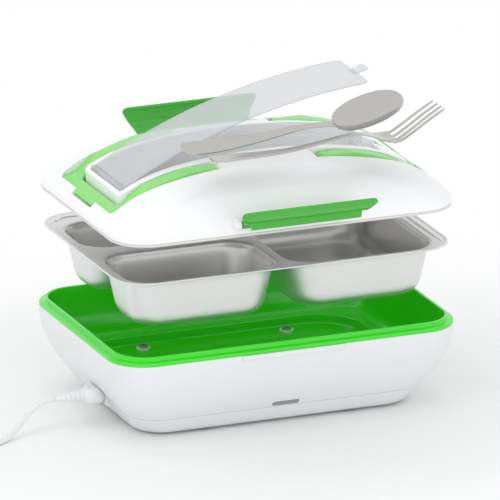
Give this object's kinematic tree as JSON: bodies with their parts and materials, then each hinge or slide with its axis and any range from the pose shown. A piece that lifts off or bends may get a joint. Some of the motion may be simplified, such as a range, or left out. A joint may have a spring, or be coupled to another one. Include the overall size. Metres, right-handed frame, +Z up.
{
  "type": "electric lunch box",
  "caption": "Electric lunch box with a heated base, lift-out steel food tray, domed lid with two latches and carry handles, covered cutlery recess, spoon, fork and mains lead.",
  "frame": {"origin": "on the surface that the box stands on, under the middle of the base", "axes": "+X along the length, away from the mains inlet; -Y the front with the indicator; +Z up"},
  "size_m": [0.4038, 0.2165, 0.2159],
  "materials": {
    "white_plastic": "satin moulded ABS",
    "lid_white": "glossy moulded ABS",
    "green_plastic": "glossy moulded polypropylene",
    "green_handle": "satin moulded polypropylene",
    "foot_rubber": "matt rubber",
    "aluminium": "rolled sheet",
    "ceramic": "ceramic and glass fibre",
    "plated_steel": "nickel plated",
    "washer_plastic": "white nylon",
    "lens_grey": "smoked acrylic, unlit",
    "lamp_red": "neon lamp and board",
    "wire_yellow": "silicone sleeved wire",
    "tray_steel": "satin pressed stainless steel",
    "silicone_cream": "translucent silicone",
    "frosted_clear": "frosted translucent polypropylene",
    "cutlery_steel": "polished stainless steel",
    "lead_white": "flexible PVC",
    "tie_black": "wire tie"
  },
  "bodies": {
    "base": {"base_shell": "white_plastic", "bottom_cover": "white_plastic", "rubber_feet": "foot_rubber", "inner_liner": "green_plastic", "heat_plate": "aluminium", "heater_element": "ceramic", "heater_terminals": "plated_steel", "thermostat": "ceramic", "thermal_fuse": "ceramic", "liner_screws": "plated_steel", "screw_washers": "washer_plastic", "inlet_socket": "white_plastic", "inlet_pins": "plated_steel", "indicator_lens": "lens_grey", "indicator_lamp": "lamp_red", "internal_wires": "wire_yellow", "lead_connector": "lead_white", "strain_relief": "lead_white", "cord_tube": "lead_white", "cord_coil": "lead_white", "cord_tie": "tie_black", "mains_plug": "lead_white", "plug_pins": "plated_steel"},
    "tray": {"food_tray": "tray_steel"},
    "lid": {"lid_shell": "lid_white", "lid_inner_panel": "lid_white", "panel_gasket": "silicone_cream", "lid_seal": "silicone_cream", "handle_pins": "plated_steel", "latch_pins": "plated_steel"},
    "cutlery_cover": {"cutlery_cover": "frosted_clear"},
    "left_handle": {"left_handle": "green_handle"},
    "right_handle": {"right_handle": "green_handle"},
    "front_latch": {"front_latch": "green_plastic"},
    "rear_latch": {"rear_latch": "green_plastic"},
    "spoon": {"spoon": "cutlery_steel"},
    "fork": {"fork": "cutlery_steel"}
  },
  "joints": [
    {"name": "tray_lift", "type": "slide", "parent": "base", "child": "tray", "axis": [0, 0, 1], "range_m": [-0.0488, 0.06]},
    {"name": "lid_lift", "type": "slide", "parent": "tray", "child": "lid", "axis": [0, 0, 1], "range_m": [-0.029, 0.06]},
    {"name": "front_latch_hinge", "type": "hinge", "parent": "lid", "child": "front_latch", "pos_m": [0, -0.0874, 0.1463], "axis": [-1, 0, 0], "range_deg": [-105, 55]},
    {"name": "rear_latch_hinge", "type": "hinge", "parent": "lid", "child": "rear_latch", "pos_m": [0, 0.0874, 0.1463], "axis": [1, 0, 0], "range_deg": [-140, 20]},
    {"name": "left_handle_hinge", "type": "hinge", "parent": "lid", "child": "left_handle", "pos_m": [-0.038, 0, 0.1691], "axis": [0, 1, 0], "range_deg": [0, 132]},
    {"name": "right_handle_hinge", "type": "hinge", "parent": "lid", "child": "right_handle", "pos_m": [0.038, 0, 0.1691], "axis": [0, -1, 0], "range_deg": [0, 132]},
    {"name": "cutlery_cover_hinge", "type": "hinge", "parent": "lid", "child": "cutlery_cover", "pos_m": [-0.0956, 0, 0.1588], "axis": [0, -1, 0], "range_deg": [-16.8, 58]},
    {"name": "spoon_lift", "type": "slide", "parent": "lid", "child": "spoon", "axis": [0, 0, 1], "range_m": [-0.005, 0.03]},
    {"name": "fork_lift", "type": "slide", "parent": "lid", "child": "fork", "axis": [0, 0, 1], "range_m": [-0.01, 0.003]}
  ]
}
